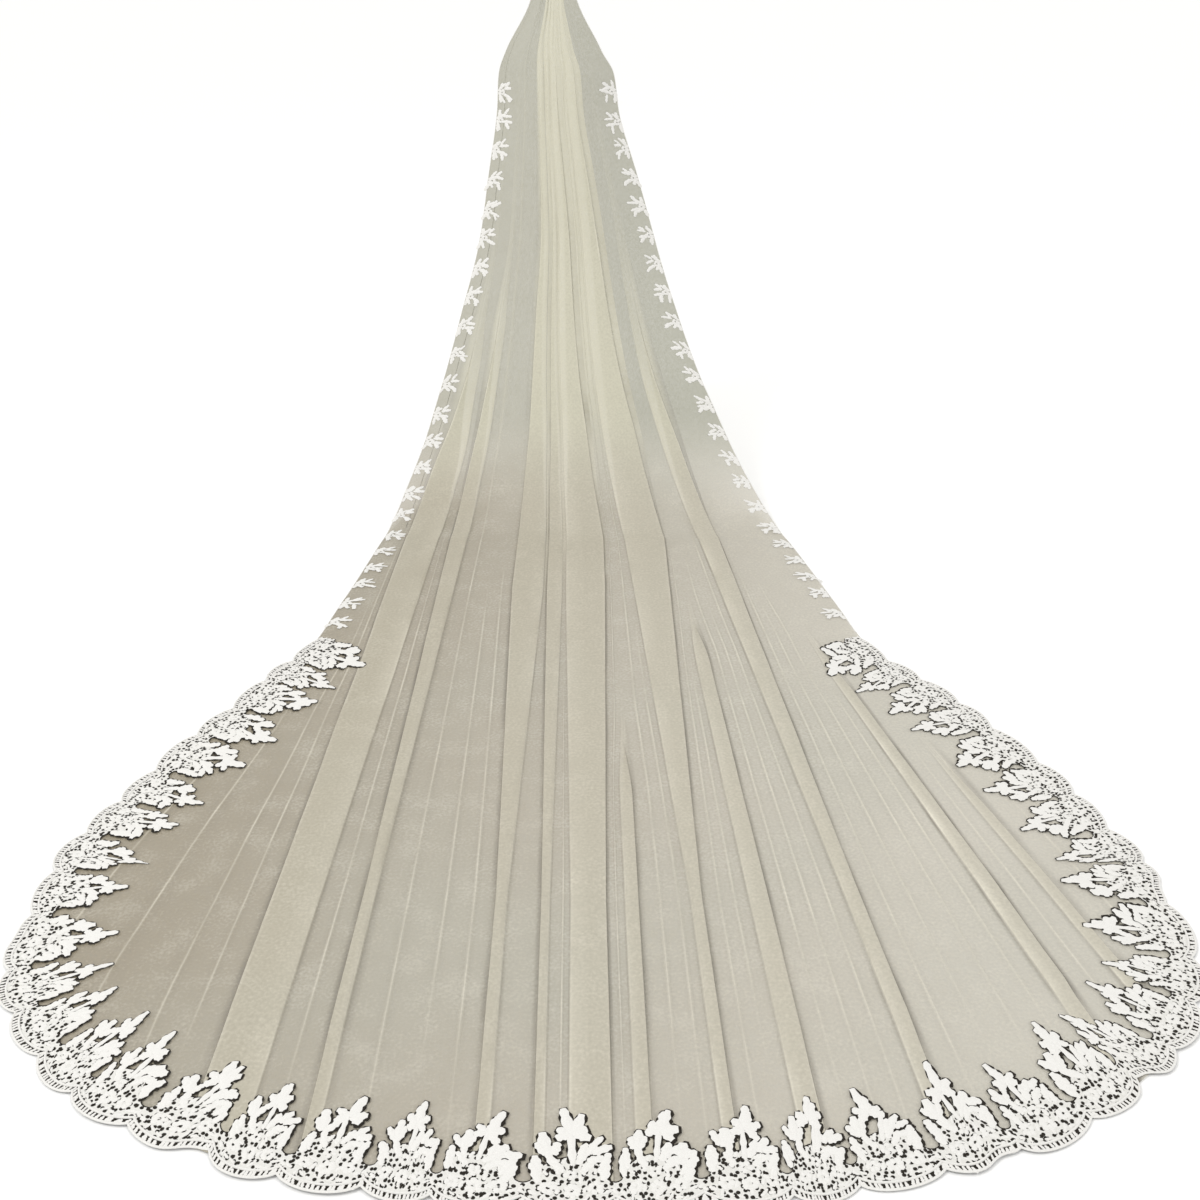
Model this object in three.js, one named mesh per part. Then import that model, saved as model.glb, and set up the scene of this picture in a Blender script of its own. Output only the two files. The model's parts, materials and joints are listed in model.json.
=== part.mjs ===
import * as THREE from 'three';

// A cathedral-length bridal veil in millimetres, +Z up. The comb at its head is the origin, the
// wearer faces +Y, and the train runs out over the floor towards -Y.

// Driving sizes
const FLOOR = -1650; // floor level below the comb
const TULLE_WALL = 1;
const SEAM_GAP = 0.3;
const STRAIGHT_FROM = 0.55; // share of the half width past which a section runs straight to its edge
const HEM_POWER = 2.2; // fullness of the train's rounded end
const LACE_START = 1480; // distance behind the comb where the lace border begins
const LACE_WALL = 1.2;
const LACE_LENGTHS = 8; // lengths of lace trim sewn end to end
const UNITS_PER_LENGTH = 5; // scallops in one length of lace
const SPRAYS_PER_SIDE = 22;
const FIRST_SPRAY = 440; // along the edge from the comb's row
const SPRAY_PITCH = 92.5;
const SPRAY_STRETCH = 0.66; // the sprays lie further apart down the edge, by twice this at each step
const SPRAY_WALL = 1;
const SPRAY_GAP = 0.5; // the sprays bridge the panel's shallow hollows
const FOLD_RISE = 8; // height of a laid pleat's folded edge
const FOLD_FOOT = 9; // cloth beyond a laid pleat's folded edges
const FOLD_SLACK = 6; // cloth that a soft fold takes up beyond a laid one
const FOLD_OPENING = 300; // run over which a fold begins, and over which it opens out flat
const FOLD_ROOM = 0.82; // share of the way to the next fold that the two folds may take between them
const IDLE_FOLD = 2; // room kept for a fold that has not begun or has opened out
const SPRAY_ZONE = 88; // flat cloth along each edge under the sprays
const LACE_ZONE = 212; // flat cloth along each edge under the lace
const STEEPEST_RIDGE = 1.4; // height of a hanging fold over its half width
const MITRE_LIMIT = 0.5; // cosine past which a mitred corner of the wall grows no longer
const HEM_STEPS = 24; // points round the train's rounded end
const HEM_SAMPLES = 600; // points at which the hem is searched for the start of the lace
const COMB = { width: 96, spine: 8, teeth: 16, tooth: 42, toothWidth: 2.6, toothTaper: 0.78, wall: 2.5 };

const TULLE_COLOUR = 0xd9d4c6;
const LACE_COLOUR = 0xf5f2ec;
const COMB_COLOUR = 0xe9e5dc;

// Turns rows of numbers into rows with named columns
function table(columns, rows) {
  return rows.map((row) => Object.fromEntries(columns.map((column, i) => [column, row[i]])));
}

// Sections of the veil from the comb to the hem.
// back, height: the middle of the section behind the comb and above the floor
// centre, half: sideways drift and half the veil's width, lace included
// trim: how far the lace stands out past the tulle
// wrap: how far the sides come forward round the wearer
// ridge: height of the hanging folds
// lay: 0 for soft ridges, 1 for pleats laid flat
// spread: how far each fold has moved from its place in the fall to its place at the hem
// bow: how far the middle runs on behind the edges
const SECTIONS = table(
  ['back', 'height', 'centre', 'half', 'trim', 'wrap', 'ridge', 'lay', 'spread', 'bow'],
  [
    [0, 1650, 0, 50, 0, 0, 1.2, 0, 0, 0],
    [60, 1531, 0, 76, 0, 20, 4, 0, 0, 0],
    [89, 1397, -3, 152, 0, 70, 8, 0, 0, 0],
    [104, 1320, 4, 190, 0, 105, 10, 0.05, 0, 0],
    [118, 1200, 8, 204, 0, 118, 11, 0.1, 0, 0],
    [145, 1010, 22, 251, 0, 118, 12, 0.2, 0, 0],
    [181, 797, 36, 303, 0, 112, 13, 0.3, 0, 0],
    [250, 590, 42, 371, 0, 100, 13, 0.4, 0, 0],
    [358, 372, 54, 449, 0, 80, 12, 0.55, 0, 0],
    [449, 221, 68, 513, 0, 55, 10, 0.7, 0, 0],
    [596, 103, 80, 573, 0, 30, 7, 0.85, 0, 0],
    [720, 30, 91, 615, 0, 10, 3, 0.95, 0, 0],
    [851, 0, 100, 646, 0, 0, 0, 1, 0, 0],
    [1265, 0, 114, 712, 0, 0, 0, 1, 0.25, 0],
    [1531, 0, 119, 767, 12, 0, 0, 1, 0.38, 40],
    [1716, 0, 131, 872, 27, 0, 0, 1, 0.48, 110],
    [1907, 0, 147, 959, 27, 0, 0, 1, 0.6, 230],
    [2101, 0, 148, 1044, 27, 0, 0, 1, 0.7, 370],
    [2311, 0, 149, 1116, 27, 0, 0, 1, 0.8, 500],
    [2470, 0, 151, 1155, 27, 0, 0, 1, 0.9, 610],
    [2634, 0, 153, 1152, 27, 0, 0, 1, 1, 659],
  ],
);
const FIRST_FLOOR_ROW = SECTIONS.findIndex((section) => section.height === 0);

// Folds from the left edge to the right.
// fall, train: place across the fall and at the hem, as a share of the half width
// overlap, hem: half the width of the laid pleat where it meets the floor and at the hem, 0 for a gather
// lean: 1 where the folded edge lies to the left, -1 to the right
// starts, opens: distance behind the comb where the fold begins and where it has opened out
const FOLDS = table(
  ['fall', 'train', 'overlap', 'hem', 'lean', 'starts', 'opens'],
  [
    [-0.92, -0.66, 14, 8, 1, 1800, 2850],
    [-0.755, -0.53, 66, 46, 1, 300, 3080],
    [-0.626, -0.412, 22, 9, 1, 200, 2850],
    [-0.47, -0.29, 0, 0, 1, -240, 2500],
    [-0.265, -0.176, 50, 8, 1, -300, 2900],
    [-0.205, -0.14, 0, 0, 1, -240, 720],
    [-0.146, -0.1, 26, 8, 1, -300, 2750],
    [-0.072, -0.065, 0, 0, 1, -240, 720],
    [0.002, -0.031, 60, 34, -1, -300, 3080],
    [0.075, 0.01, 0, 0, 1, -240, 720],
    [0.14, 0.05, 14, 10, -1, 1800, 2900],
    [0.215, 0.1, 0, 0, 1, -240, 720],
    [0.296, 0.156, 60, 8, -1, -300, 3080],
    [0.44, 0.27, 16, 14, -1, 1300, 3000],
    [0.53, 0.37, 0, 0, -1, 1300, 2700],
    [0.625, 0.465, 28, 16, -1, 250, 3080],
    [0.79, 0.56, 10, 10, -1, 1500, 2900],
    [0.91, 0.68, 16, 14, -1, 1800, 2850],
  ],
);

// Plain columns of the tulle near each edge, where the sprays and the lace lie, placed as the folds are
const EDGE_COLUMNS = table(
  ['fall', 'train'],
  [[0.94, 0.82], [0.965, 0.92], [0.985, 0.975], [1, 1]],
);

// Cross-section of a fold as shares of its half width and height: open is a soft hanging ridge, and
// laid is a flat pleat, which rises at its folded edge and slopes away on the other side
const PLEAT = table(
  ['open', 'crest', 'laid', 'foot', 'layer'],
  [
    [-1, 0, -1, -0.5, 0],
    [-0.5, 0.6, -1, 0, 1],
    [0, 1, 0, 0, 0.9],
    [0.5, 0.6, 1, 0, 0.6],
    [1, 0, 1, 1, 0],
  ],
);
const GATHER = table(['open', 'crest'], [[-1, 0], [0, 0.7], [1, 0]]);

// One scallop of the lace border.
// along: share of the scallop's pitch from its middle, inwards: distance from the outer edge
const OUTER_EDGE = table(
  ['along', 'inwards'],
  [[-0.5, 20], [-0.26, 4], [0, 0], [0.26, 4]],
);
const INNER_EDGE = table(
  ['along', 'inwards'],
  [
    [0.44, 64], [0.4, 104], [0.36, 130], [0.22, 134], [0.15, 112], [0.11, 130],
    [0.19, 152], [0.07, 164], [0.04, 202], [-0.02, 205], [-0.06, 164], [-0.17, 156],
    [-0.1, 132], [-0.13, 112], [-0.2, 148], [-0.28, 150], [-0.36, 112], [-0.44, 64],
  ],
);
const NOTCH = 58; // depth of lace left between two scallops' sprays
// Gaps in one scallop: place, half length along the edge, half width and number of corners
const LACE_GAPS = table(
  ['along', 'inwards', 'reach', 'width', 'corners'],
  [
    [-0.21, 24, 0.13, 6, 4],
    [0.21, 24, 0.13, 6, 4],
    [-0.28, 64, 0.08, 12, 4],
    [0.28, 64, 0.08, 12, 4],
    [0, 62, 0.09, 11, 4],
    [0.02, 108, 0.05, 12, 4],
  ],
);

// A spray of one open flower with two leaves, drawn by its radius round the middle.
// turn: direction of a leaf from straight down the edge, reach: its length past the petals
const SPRAY = { points: 16, petals: 5, radius: 24, wave: 6, leafSpread: 0.34, breadth: 0.8, inset: 36 };
const LEAVES = table(['turn', 'reach'], [[0.35, 26], [2.75, 22], [4.3, 8]]);

const clamp = THREE.MathUtils.clamp;
const mix = THREE.MathUtils.lerp;
const ease = (value, from, to) => THREE.MathUtils.smoothstep(value, from, to);

// Rise of the train's rounded end over its straight base, from 1 in the middle to 0 at the edge
function roundness(across) {
  return (1 - Math.min(1, Math.abs(across)) ** HEM_POWER) ** (1 / HEM_POWER);
}

// How far a section has come forward at a place across it: a bow that runs straight near its edge
function forward(across) {
  const side = Math.abs(across);
  if (side < STRAIGHT_FROM) return side ** 2;
  return STRAIGHT_FROM ** 2 + 2 * STRAIGHT_FROM * (side - STRAIGHT_FROM);
}

// Slope of that bow
const forwardSlope = (across) => 2 * clamp(across, -STRAIGHT_FROM, STRAIGHT_FROM);

// Outward direction of a section, square to the run of the veil: towards -Y in the fall, up on the floor
function outward(index) {
  if (index > FIRST_FLOOR_ROW) return new THREE.Vector3(0, 0, 1);
  const before = SECTIONS[Math.max(index - 1, 0)];
  const after = SECTIONS[index + 1];
  return new THREE.Vector3(0, after.height - before.height, after.back - before.back).normalize();
}

// A point of a section from its flat coordinates: sideways from the centre, and out from the middle wall
function place(index, across, sideways, out, shift = 0) {
  const { back, height, centre, bow } = SECTIONS[index];
  const base = new THREE.Vector3(
    centre + sideways,
    -(back + shift + bow * roundness(across)),
    FLOOR + height + TULLE_WALL / 2,
  );
  return base.addScaledVector(outward(index), out);
}

// Half the width of the tulle alone
const tulleHalf = (index) => SECTIONS[index].half - SECTIONS[index].trim;

// Where a fold or a plain column lies across a section
const placeAcross = (column, index) => mix(column.fall, column.train, SECTIONS[index].spread);

// How far behind the comb the middle of a section lies
const runOf = (index) => SECTIONS[index].back + SECTIONS[index].bow;

// How far a fold has formed in a section, from 0 to 1
function foldLife(fold, index) {
  const begun = ease(runOf(index), fold.starts, fold.starts + FOLD_OPENING);
  const opened = ease(runOf(index), fold.opens - FOLD_OPENING, fold.opens);
  return begun * (1 - opened);
}

// Room that a fold asks for on each side
function foldClaim(fold, index) {
  return IDLE_FOLD + (FOLD_FOOT + fold.overlap * SECTIONS[index].lay) * foldLife(fold, index);
}

// Half the width of the cloth that the folds may take up, as a share of the tulle's half width
function foldedShare(index) {
  const { back, trim } = SECTIONS[index];
  const zone = back > LACE_START ? LACE_ZONE - trim : SPRAY_ZONE;
  return 1 - zone / tulleHalf(index);
}

// Points of one fold in a section, sideways and out, about the fold's own place
function foldPoints(fold, index, room) {
  const { lay, ridge } = SECTIONS[index];
  const life = foldLife(fold, index);
  const onFloor = ease(runOf(index), SECTIONS[FIRST_FLOOR_ROW].back, fold.opens);
  const half = clamp(mix(fold.overlap, fold.hem, onFloor), 0, Math.max(room - FOLD_FOOT, 0));
  const width = Math.min(2 * half + FOLD_SLACK, room);
  const height = Math.min(ridge, STEEPEST_RIDGE * width) * life;
  if (fold.overlap === 0) {
    return GATHER.map(({ open, crest }) => [open * width * fold.lean, crest * height]);
  }
  const flat = lay * life;
  return PLEAT.map(({ open, crest, laid, foot, layer }) => [
    mix(open * width, laid * half + foot * FOLD_FOOT, flat) * fold.lean,
    mix(crest * height, layer * FOLD_RISE, flat),
  ]);
}

// The middle line of a section from the left edge to the right, in flat coordinates
function sectionLine(index, folds) {
  const { wrap } = SECTIONS[index];
  const half = tulleHalf(index);
  const places = folds.map((fold) => placeAcross(fold, index));
  const edges = EDGE_COLUMNS.map((column) => placeAcross(column, index));
  const line = edges.map((edge) => ({ across: -edge, aside: 0, out: 0 })).reverse();
  const claims = folds.map((fold) => foldClaim(fold, index));
  const roomBeside = (i, next) => {
    if (!folds[next]) return half * (edges[0] - Math.abs(places[i])) * FOLD_ROOM;
    const share = claims[i] / (claims[i] + claims[next]);
    return half * Math.abs(places[next] - places[i]) * FOLD_ROOM * share;
  };
  folds.forEach((fold, i) => {
    const toZone = half * (foldedShare(index) - Math.abs(places[i]));
    const inZone = toZone < FOLD_SLACK ? Infinity : toZone;
    const room = Math.min(roomBeside(i, i - 1), roomBeside(i, i + 1), inZone);
    const points = foldPoints(fold, index, room);
    const ordered = fold.lean > 0 ? points : points.reverse();
    line.push(...ordered.map(([aside, out]) => ({ across: places[i], aside, out })));
  });
  line.push(...edges.map((edge) => ({ across: edge, aside: 0, out: 0 })));
  return line.map(({ across, aside, out }) => {
    const slope = (wrap / half) * forwardSlope(across);
    const size = Math.hypot(1, slope);
    return {
      across,
      sideways: across * half + (aside + out * slope) / size,
      out: -wrap * forward(across) + (out - aside * slope) / size,
    };
  });
}

// Moves a section's line square to itself, with mitred corners
function movedOut(line, distance) {
  return line.map((point, i) => {
    const before = line[Math.max(i - 1, 0)];
    const after = line[Math.min(i + 1, line.length - 1)];
    const legs = [[before, point], [point, after]].filter(([a, b]) => a !== b);
    const square = ([a, b]) => new THREE.Vector2(a.out - b.out, b.sideways - a.sideways).normalize();
    const normals = legs.map(square);
    const corner = normals.reduce((sum, normal) => sum.clone().add(normal)).normalize();
    const reach = distance / Math.max(corner.dot(normals[0]), MITRE_LIMIT);
    return {
      across: point.across,
      sideways: point.sideways + corner.x * reach,
      out: point.out + corner.y * reach,
    };
  });
}

// A closed mesh from its points and the corners of its faces
function closedMesh(points, faces) {
  const geometry = new THREE.BufferGeometry();
  const numbers = points.flatMap((point) => point.toArray());
  geometry.setAttribute('position', new THREE.Float32BufferAttribute(numbers, 3));
  geometry.setIndex(faces);
  return geometry;
}

// A closed wall through sections: an outer and an inner grid of points, joined round their edges.
// The faces are split along mirrored diagonals left and right, so both edges are hollow and not crowned.
function wallGeometry(outer, inner) {
  const rows = outer.length;
  const columns = outer[0].length;
  const points = [...outer.flat(), ...inner.flat()];
  const at = (side, row, column) => side * rows * columns + row * columns + column;
  const faces = [];
  const quad = (a, b, c, d, turned) => {
    const split = turned ? [a, b, d, b, c, d] : [a, b, c, a, c, d];
    faces.push(...split);
  };
  for (let row = 0; row < rows - 1; row += 1) {
    for (let column = 0; column < columns - 1; column += 1) {
      const next = column + 1;
      const turned = next > columns / 2;
      quad(at(0, row, column), at(0, row + 1, column), at(0, row + 1, next), at(0, row, next), turned);
      quad(at(1, row, column), at(1, row, next), at(1, row + 1, next), at(1, row + 1, column), turned);
    }
    const last = columns - 1;
    quad(at(1, row, 0), at(1, row + 1, 0), at(0, row + 1, 0), at(0, row, 0));
    quad(at(0, row, last), at(0, row + 1, last), at(1, row + 1, last), at(1, row, last));
  }
  for (let column = 0; column < columns - 1; column += 1) {
    const end = rows - 1;
    quad(at(0, 0, column), at(0, 0, column + 1), at(1, 0, column + 1), at(1, 0, column));
    quad(at(1, end, column), at(1, end, column + 1), at(0, end, column + 1), at(0, end, column));
  }
  return closedMesh(points, faces);
}

// One stretch of the tulle panel between two sections, with the folds that live in it
function tulleStretch(firstRow, lastRow, startShift, endShift) {
  const folds = FOLDS.filter(({ starts, opens }) => starts < runOf(lastRow) && opens > runOf(firstRow));
  const rows = [];
  for (let index = firstRow; index <= lastRow; index += 1) rows.push(index);
  const side = (distance) => rows.map((index) => {
    const shift = (index === firstRow ? startShift : 0) + (index === lastRow ? endShift : 0);
    const line = movedOut(sectionLine(index, folds), distance);
    return line.map(({ across, sideways, out }) => place(index, across, sideways, out, shift));
  });
  return wallGeometry(side(TULLE_WALL / 2), side(-TULLE_WALL / 2));
}

// The tulle's outer face beside one edge: the edge point and the way inwards, at each section
function edgeRails(side) {
  const rails = SECTIONS.slice(0, FIRST_FLOOR_ROW + 4).map((section, index) => {
    const half = tulleHalf(index);
    const slope = (side * section.wrap * 2 * STRAIGHT_FROM) / half;
    const size = Math.hypot(1, slope);
    const at = (across) => place(
      index,
      across,
      side * half * Math.abs(across) + (TULLE_WALL / 2 * slope) / size,
      -section.wrap * forward(across) + TULLE_WALL / 2 / size,
    );
    const edge = at(side);
    return { edge, inwards: at(side * STRAIGHT_FROM).sub(edge).normalize() };
  });
  let run = 0;
  return rails.map((rail, index) => {
    run += index > 0 ? rail.edge.distanceTo(rails[index - 1].edge) : 0;
    return { ...rail, run };
  });
}

// A point on the tulle's outer face, by its distance along the edge and in from it
function onEdge(rails, run, inset) {
  const next = clamp(rails.findIndex((rail) => rail.run > run), 1, rails.length - 1);
  const [a, b] = [rails[next - 1], rails[next]];
  const share = (run - a.run) / (b.run - a.run);
  const from = a.edge.clone().addScaledVector(a.inwards, inset);
  const to = b.edge.clone().addScaledVector(b.inwards, inset);
  return from.lerp(to, share);
}

// Radius of a spray's outline in a direction: wavy petals, with a pointed lobe for each leaf
function sprayRadius(turn) {
  const petals = SPRAY.radius + SPRAY.wave * Math.cos(SPRAY.petals * turn);
  return LEAVES.reduce((radius, leaf) => {
    const off = Math.atan2(Math.sin(turn - leaf.turn), Math.cos(turn - leaf.turn));
    return radius + leaf.reach * Math.exp(-((off / SPRAY.leafSpread) ** 2));
  }, petals);
}

// A spray laid on the tulle's edge: a fan of points from its middle, moved out from the panel
function sprayGeometry(rails, side, run) {
  const local = [[0, 0]];
  for (let i = 0; i < SPRAY.points; i += 1) {
    const turn = (2 * Math.PI * i) / SPRAY.points;
    const radius = sprayRadius(turn);
    local.push([radius * Math.cos(turn), radius * Math.sin(turn) * SPRAY.breadth]);
  }
  const middle = onEdge(rails, run, SPRAY.inset);
  const down = onEdge(rails, run + 1, SPRAY.inset).sub(middle);
  const across = onEdge(rails, run, SPRAY.inset + 1).sub(middle);
  const normal = new THREE.Vector3().crossVectors(across, down).multiplyScalar(side).normalize();
  const layer = (height) => local.map(([along, aside]) =>
    onEdge(rails, run + along, SPRAY.inset + aside).addScaledVector(normal, height));
  const points = [...layer(SPRAY_GAP + SPRAY_WALL), ...layer(SPRAY_GAP)];
  const count = SPRAY.points;
  const faces = [];
  const face = (a, b, c) => (side > 0 ? faces.push(a, c, b) : faces.push(a, b, c));
  for (let i = 0; i < count; i += 1) {
    const here = 1 + i;
    const next = 1 + ((i + 1) % count);
    const under = count + 1;
    face(0, here, next);
    face(under, under + next, under + here);
    face(here, under + here, under + next);
    face(here, under + next, next);
  }
  return closedMesh(points, faces);
}

// The veil's outer edge on the floor, from the left start of the lace round the hem to the right
function hemCurve() {
  const hem = SECTIONS.at(-1);
  const depth = hem.bow + hem.trim;
  const floorRows = SECTIONS.slice(FIRST_FLOOR_ROW, -1);
  const edgePoint = (side, { back, centre, half }) => new THREE.Vector3(centre + side * half, -back, 0);
  const edge = (side) => floorRows.map((section) => edgePoint(side, section));
  const end = [];
  for (let i = 0; i <= HEM_STEPS; i += 1) {
    const turn = Math.PI * (i / HEM_STEPS);
    const aside = Math.abs(Math.cos(turn)) ** (2 / HEM_POWER) * Math.sign(Math.cos(turn));
    const behind = Math.sin(turn) ** (2 / HEM_POWER);
    end.push(new THREE.Vector3(hem.centre - hem.half * aside, -hem.back - depth * behind, 0));
  }
  const points = [...edge(-1), ...end, ...edge(1).reverse()];
  return new THREE.CatmullRomCurve3(points, false, 'centripetal');
}

// Shares of the hem curve's length where the lace begins and ends
function laceSpan(curve) {
  const samples = curve.getSpacedPoints(HEM_SAMPLES);
  const inLace = samples.map((point) => point.y < -LACE_START);
  return [inLace.indexOf(true) / HEM_SAMPLES, inLace.lastIndexOf(true) / HEM_SAMPLES];
}

// A flat point of the lace: a share along the hem curve and a distance in from it
function lacePoint(curve, share, inwards) {
  const point = curve.getPointAt(share);
  const tangent = curve.getTangentAt(share);
  return new THREE.Vector2(point.x - tangent.y * inwards, point.y + tangent.x * inwards);
}

// One length of lace: scallops side by side in one outline, with the gaps of each scallop cut through
function laceGeometry(curve, from, to) {
  const unit = (to - from) / UNITS_PER_LENGTH;
  const at = (k, { along, inwards }) => lacePoint(curve, from + (k + 0.5 + along) * unit, inwards);
  const outer = [];
  const inner = [];
  const gaps = [];
  for (let k = 0; k < UNITS_PER_LENGTH; k += 1) {
    outer.push(...OUTER_EDGE.map((point) => at(k, point)));
    const top = INNER_EDGE.map((point) => at(k, point)).reverse();
    inner.push(at(k, { along: -0.5, inwards: NOTCH }), ...top);
    LACE_GAPS.forEach(({ along, inwards, reach, width, corners }) => {
      const ring = [];
      for (let i = 0; i < corners; i += 1) {
        const turn = (2 * Math.PI * i) / corners;
        const corner = { along: along + reach * Math.cos(turn), inwards: inwards + width * Math.sin(turn) };
        ring.push(at(k, corner));
      }
      gaps.push(new THREE.Path(ring));
    });
  }
  outer.push(at(UNITS_PER_LENGTH, OUTER_EDGE[0]));
  inner.push(at(UNITS_PER_LENGTH, { along: -0.5, inwards: NOTCH }));
  const shape = new THREE.Shape([...outer, ...inner.reverse()]);
  shape.holes.push(...gaps);
  return new THREE.ExtrudeGeometry(shape, { depth: LACE_WALL, bevelEnabled: false });
}

// The comb: a flat spine with teeth that point down into the hair
function combGeometry() {
  const { width, spine, teeth, tooth, toothWidth, toothTaper, wall } = COMB;
  const pitch = (width - toothWidth) / (teeth - 1);
  const outline = [new THREE.Vector2(width / 2, 0), new THREE.Vector2(-width / 2, 0)];
  for (let i = 0; i < teeth; i += 1) {
    const left = -width / 2 + i * pitch;
    const right = left + toothWidth;
    if (i > 0) outline.push(new THREE.Vector2(left, -spine));
    outline.push(new THREE.Vector2(left + toothTaper, -spine - tooth));
    outline.push(new THREE.Vector2(right - toothTaper, -spine - tooth));
    if (i < teeth - 1) outline.push(new THREE.Vector2(right, -spine));
  }
  const geometry = new THREE.ExtrudeGeometry(new THREE.Shape(outline), { depth: wall, bevelEnabled: false });
  return geometry.rotateX(Math.PI / 2);
}

function piece(name, geometry, color, roughness) {
  const material = new THREE.MeshStandardMaterial({ color, roughness, metalness: 0 });
  const mesh = new THREE.Mesh(geometry, material);
  mesh.name = name;
  return mesh;
}

const numbered = (name, i) => `${name}_${String(i + 1).padStart(2, '0')}`;

function tulle() {
  const lastRow = SECTIONS.length - 1;
  return [
    piece('tulle_fall', tulleStretch(0, FIRST_FLOOR_ROW, 0, -SEAM_GAP / 2), TULLE_COLOUR, 0.8),
    piece('tulle_train', tulleStretch(FIRST_FLOOR_ROW, lastRow, SEAM_GAP / 2, 0), TULLE_COLOUR, 0.8),
  ];
}

function sprays() {
  return [['left', -1], ['right', 1]].flatMap(([name, side]) => {
    const rails = edgeRails(side);
    return Array.from({ length: SPRAYS_PER_SIDE }, (_, i) => {
      const run = FIRST_SPRAY + i * SPRAY_PITCH + i ** 2 * SPRAY_STRETCH;
      const geometry = sprayGeometry(rails, side, run);
      return piece(numbered(`spray_${name}`, i), geometry, LACE_COLOUR, 0.7);
    });
  });
}

function laceBorder() {
  const curve = hemCurve();
  const [start, end] = laceSpan(curve);
  const length = (end - start) / LACE_LENGTHS;
  const gap = SEAM_GAP / 2 / curve.getLength();
  return Array.from({ length: LACE_LENGTHS }, (_, i) => {
    const geometry = laceGeometry(curve, start + i * length + gap, start + (i + 1) * length - gap);
    const mesh = piece(numbered('lace', i), geometry, LACE_COLOUR, 0.7);
    mesh.position.z = FLOOR + TULLE_WALL + SEAM_GAP;
    return mesh;
  });
}

function comb() {
  const mesh = piece('comb', combGeometry(), COMB_COLOUR, 0.35);
  mesh.position.y = TULLE_WALL / 2 + SEAM_GAP + COMB.wall;
  return mesh;
}

const veil = new THREE.Group();
veil.add(...tulle(), ...sprays(), ...laceBorder(), comb());

export default veil;
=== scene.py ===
"""A bridal veil: sheer tulle in laid pleats, a corded lace border, sewn sprays along the edges and a comb.

Metres, +Z up. The comb is at the origin, and the train runs out over the floor towards -Y.
"""
import json
import math

import bpy
import numpy as np
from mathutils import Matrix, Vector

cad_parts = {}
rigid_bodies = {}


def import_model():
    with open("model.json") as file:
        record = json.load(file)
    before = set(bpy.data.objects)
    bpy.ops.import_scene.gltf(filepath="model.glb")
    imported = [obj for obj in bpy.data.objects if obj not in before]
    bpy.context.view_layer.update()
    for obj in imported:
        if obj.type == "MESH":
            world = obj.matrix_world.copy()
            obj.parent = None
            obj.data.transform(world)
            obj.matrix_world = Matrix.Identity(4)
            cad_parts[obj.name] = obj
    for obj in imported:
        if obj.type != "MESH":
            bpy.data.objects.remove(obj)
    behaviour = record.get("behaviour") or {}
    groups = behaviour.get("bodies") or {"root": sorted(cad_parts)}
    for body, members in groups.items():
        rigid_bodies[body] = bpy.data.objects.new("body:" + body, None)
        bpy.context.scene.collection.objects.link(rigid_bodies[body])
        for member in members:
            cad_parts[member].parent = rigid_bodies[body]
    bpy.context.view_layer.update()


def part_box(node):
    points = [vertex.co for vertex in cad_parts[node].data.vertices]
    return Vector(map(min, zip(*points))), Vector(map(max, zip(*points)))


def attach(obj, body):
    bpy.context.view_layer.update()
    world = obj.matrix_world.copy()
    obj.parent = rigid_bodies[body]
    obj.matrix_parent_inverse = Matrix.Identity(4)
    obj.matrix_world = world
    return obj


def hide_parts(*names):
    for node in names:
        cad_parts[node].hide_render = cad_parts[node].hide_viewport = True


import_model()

# Driving sizes
FLOOR = float(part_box("tulle_train")[0][2])
TULLE_LIFT = 0.0008
STRAIGHT_FROM = 0.55
HEM_POWER = 2.2
LACE_START = 1.48
LACE_LENGTHS = 8
UNITS_PER_LENGTH = 5
SPRAYS_PER_SIDE = 22
FIRST_SPRAY = 0.44
SPRAY_PITCH = 0.0925
SPRAY_STRETCH = 0.00066
FOLD_LAYER = 0.003
FOLD_FOOT = 0.005
FOLD_SLACK = 0.006
FOLD_OPENING = 0.45
FOLD_ROOM = 0.94
IDLE_FOLD = 0.002
STEEPEST_RIDGE = 1.4
UNDER_LACE = (0.20, 0.34)
PRESSED = 0.25
MEETS_FLOOR = 0.851
NARROWED = 2.575
TRAIN_END = 3.2
WIDEST_PLACE = 0.97
CREASE_RISE = 0.0018
CREASE_HALF = 0.005
CREASE_ROOM = 0.09
BROAD_RIPPLE = 0.0034
FINE_RIPPLE = 0.0006
HANGING_RIPPLE = 0.001
ROWS = 230
PLAIN_COLUMNS = 3

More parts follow.
